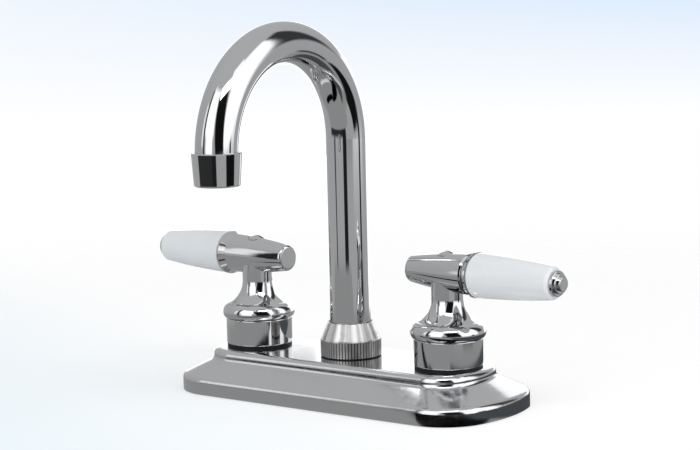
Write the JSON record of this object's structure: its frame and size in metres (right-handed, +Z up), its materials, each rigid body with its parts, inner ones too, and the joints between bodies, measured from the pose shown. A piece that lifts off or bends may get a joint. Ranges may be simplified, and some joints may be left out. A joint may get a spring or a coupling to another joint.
{
  "type": "basin mixer tap",
  "caption": "Deck-mounted basin mixer tap: sloped chrome plate, tall swivelling arch spout with aerator, and lever handles with white porcelain grips on ceramic-disc valves.",
  "frame": {"origin": "on the deck surface under the middle of the plate, on the spout's swivel axis", "axes": "+Z up out of the deck, +X along the plate towards the cold valve, -Y towards the user, the way the spout points at rest"},
  "size_m": [0.2194, 0.1284, 0.2127],
  "materials": {
    "plate_chrome": "polished",
    "spout_chrome": "polished",
    "handle_chrome": "polished",
    "body_brass": "machined",
    "copper_tube": "drawn",
    "washer_steel": "zinc plated",
    "screen_steel": "woven",
    "black_rubber": "matte",
    "white_plastic": "moulded",
    "clear_cushion": "moulded",
    "ceramic_disc": "lapped",
    "porcelain": "glazed"
  },
  "bodies": {
    "tap_body": {"deck_plate": "plate_chrome", "deck_gasket": "black_rubber", "spout_tee": "body_brass", "spout_nut": "plate_chrome", "spout_base_washer": "black_rubber", "glide_ring": "white_plastic", "valve_body_hot": "body_brass", "valve_body_cold": "body_brass", "bridge_tube_hot": "copper_tube", "bridge_tube_cold": "copper_tube", "lock_washer_hot": "washer_steel", "lock_washer_cold": "washer_steel", "locknut_hot": "body_brass", "locknut_cold": "body_brass", "collar_washer_hot": "black_rubber", "collar_washer_cold": "black_rubber", "collar_hot": "handle_chrome", "collar_cold": "handle_chrome", "cartridge_hot": "body_brass", "cartridge_cold": "body_brass", "cartridge_oring_hot": "black_rubber", "cartridge_oring_cold": "black_rubber", "seat_washer_hot": "black_rubber", "seat_washer_cold": "black_rubber", "fixed_disc_hot": "ceramic_disc", "fixed_disc_cold": "ceramic_disc"},
    "handle_hot": {"moving_disc_hot": "ceramic_disc", "spindle_hot": "body_brass", "spindle_oring_hot": "black_rubber", "handle_hub_hot": "handle_chrome", "ferrule_hot": "handle_chrome", "lever_cushion_hot": "clear_cushion", "lever_hot": "porcelain", "finial_washer_hot": "clear_cushion", "tie_screw_hot": "handle_chrome", "handle_screw_hot": "handle_chrome"},
    "handle_cold": {"moving_disc_cold": "ceramic_disc", "spindle_cold": "body_brass", "spindle_oring_cold": "black_rubber", "handle_hub_cold": "handle_chrome", "ferrule_cold": "handle_chrome", "lever_cushion_cold": "clear_cushion", "lever_cold": "porcelain", "finial_washer_cold": "clear_cushion", "tie_screw_cold": "handle_chrome", "handle_screw_cold": "handle_chrome"},
    "spout": {"spout_tube": "spout_chrome", "spout_end": "body_brass", "spout_orings": "black_rubber", "aerator_shell": "spout_chrome", "aerator_washer": "black_rubber", "aerator_insert": "white_plastic", "aerator_screen": "screen_steel"}
  },
  "joints": [
    {"name": "handle_hot_turn", "type": "hinge", "parent": "tap_body", "child": "handle_hot", "pos_m": [-0.0508, 0, 0.0577], "axis": [0, 0, 1], "range_deg": [0, 90]},
    {"name": "handle_cold_turn", "type": "hinge", "parent": "tap_body", "child": "handle_cold", "pos_m": [0.0508, 0, 0.0577], "axis": [0, 0, 1], "range_deg": [-90, 0]},
    {"name": "spout_swivel", "type": "hinge", "parent": "tap_body", "child": "spout", "pos_m": [0, 0, 0.026], "axis": [0, 0, 1], "continuous": true}
  ]
}
